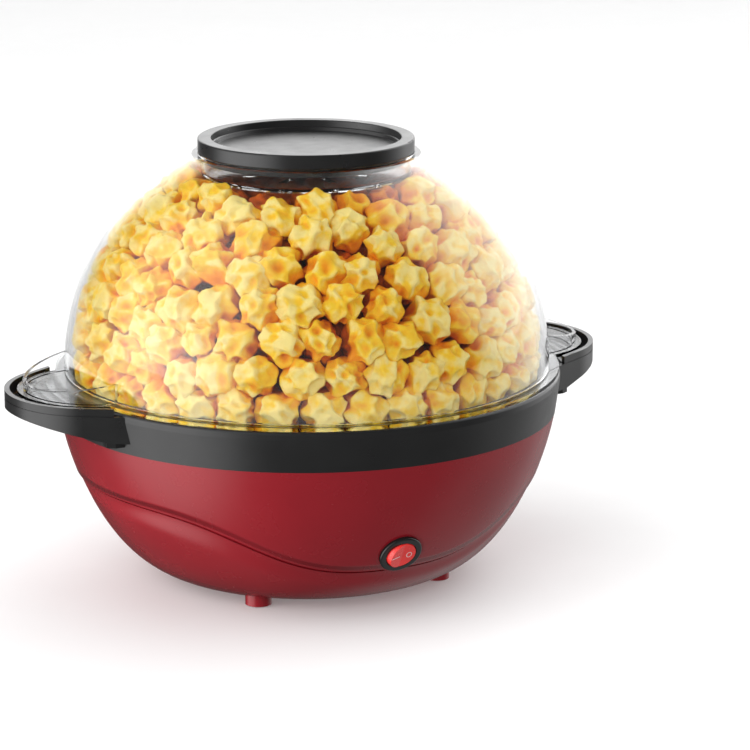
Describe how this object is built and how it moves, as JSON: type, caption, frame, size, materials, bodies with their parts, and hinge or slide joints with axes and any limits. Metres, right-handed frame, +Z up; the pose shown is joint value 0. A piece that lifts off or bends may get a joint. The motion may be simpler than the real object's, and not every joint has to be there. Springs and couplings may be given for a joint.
{
  "type": "stirring popcorn maker",
  "caption": "Table-top stirring popcorn maker: red bowl base with rocker switch and feet, black collar with side handles, clear dome lid with butter well and black cap.",
  "frame": {"origin": "bottom centre, on the surface that the foot pads stand on", "axes": "+X through the right-hand carrying handle, -Y towards the switch, +Z up"},
  "size_m": [0.372, 0.3, 0.2614],
  "materials": {
    "red_shell": "glossy moulded red",
    "black_shell": "satin moulded black",
    "black_trim": "gloss black",
    "clear_shell": "clear polished moulding",
    "red_rocker": "gloss red",
    "nonstick": "dark non-stick coating",
    "soft_rubber": "soft moulded",
    "plain_steel": "bright drawn",
    "shield_metal": "plain sheet",
    "brass_parts": "turned",
    "gear_plastic": "natural acetal",
    "case_plastic": "glass-filled",
    "magnet": "ferrite",
    "motor_steel": "stacked laminations",
    "copper_coil": "enamelled copper wire"
  },
  "bodies": {
    "base": {"bottom_housing": "red_shell", "bottom_cover": "black_shell", "cover_screws": "plain_steel", "foot_front_left": "red_shell", "foot_front_right": "red_shell", "foot_rear_left": "red_shell", "foot_rear_right": "red_shell", "foot_pads": "soft_rubber", "foot_screws": "plain_steel", "rim_ring": "black_shell", "handle_left": "black_shell", "handle_right": "black_shell", "handle_screws": "plain_steel", "popping_plate": "nonstick", "plate_gasket": "soft_rubber", "plate_studs": "plain_steel", "stud_nuts": "plain_steel", "heating_element": "plain_steel", "element_clamps": "shield_metal", "thermostat": "case_plastic", "fuse_clip": "shield_metal", "thermal_fuse": "plain_steel", "heat_shield": "shield_metal", "shield_screws": "plain_steel", "gearbox_case": "case_plastic", "gearbox_cover": "case_plastic", "gearbox_screws": "plain_steel", "gear_pins": "plain_steel", "lamination_stack": "motor_steel", "motor_coil": "copper_coil", "motor_bracket": "plain_steel", "motor_screws": "plain_steel", "shaft_bush": "brass_parts", "shaft_seal": "soft_rubber", "switch_bezel": "black_trim", "switch_body": "black_trim", "switch_terminals": "brass_parts", "cord_gland": "soft_rubber", "terminal_block": "black_trim"},
    "lid": {"dome_lid": "clear_shell", "lid_rim": "clear_shell", "butter_well": "clear_shell"},
    "cap": {"vent_cap": "black_shell", "cap_plug": "black_shell"},
    "drive": {"drive_gear": "gear_plastic", "drive_shaft": "plain_steel"},
    "stirrer": {"stirring_arm": "plain_steel", "stirrer_knob": "black_trim"},
    "gear_two": {"gear_two": "gear_plastic"},
    "gear_one": {"gear_one": "gear_plastic"},
    "rotor": {"rotor_core": "magnet", "rotor_shaft": "plain_steel"},
    "rocker": {"switch_rocker": "red_rocker"}
  },
  "joints": [
    {"name": "lid_lift", "type": "slide", "parent": "base", "child": "lid", "axis": [0, 0, 1], "range_m": [0, 0.2]},
    {"name": "cap_lift", "type": "slide", "parent": "lid", "child": "cap", "axis": [0, 0, 1], "range_m": [0, 0.05]},
    {"name": "drive_turn", "type": "hinge", "parent": "base", "child": "drive", "pos_m": [0, 0, 0.049], "axis": [0, 0, 1], "continuous": true},
    {"name": "stirrer_lift", "type": "slide", "parent": "drive", "child": "stirrer", "axis": [0, 0, 1], "range_m": [0, 0.03]},
    {"name": "gear_two_turn", "type": "hinge", "parent": "base", "child": "gear_two", "pos_m": [0.024, 0, 0.044], "axis": [0, 0, 1], "continuous": true},
    {"name": "gear_one_turn", "type": "hinge", "parent": "base", "child": "gear_one", "pos_m": [0.012, -0.02078, 0.039], "axis": [0, 0, 1], "continuous": true},
    {"name": "rotor_turn", "type": "hinge", "parent": "base", "child": "rotor", "pos_m": [-0.012, -0.02078, 0.024], "axis": [0, 0, 1], "continuous": true},
    {"name": "rocker_tilt", "type": "hinge", "parent": "base", "child": "rocker", "pos_m": [0, -0.12693, 0.04329], "axis": [0, 0.4893, -0.8721], "range_deg": [0, 18]}
  ],
  "couplings": [
    {"joint": "gear_two_turn", "follows": "drive_turn", "ratio": -4},
    {"joint": "gear_one_turn", "follows": "drive_turn", "ratio": 16},
    {"joint": "rotor_turn", "follows": "drive_turn", "ratio": -64}
  ]
}
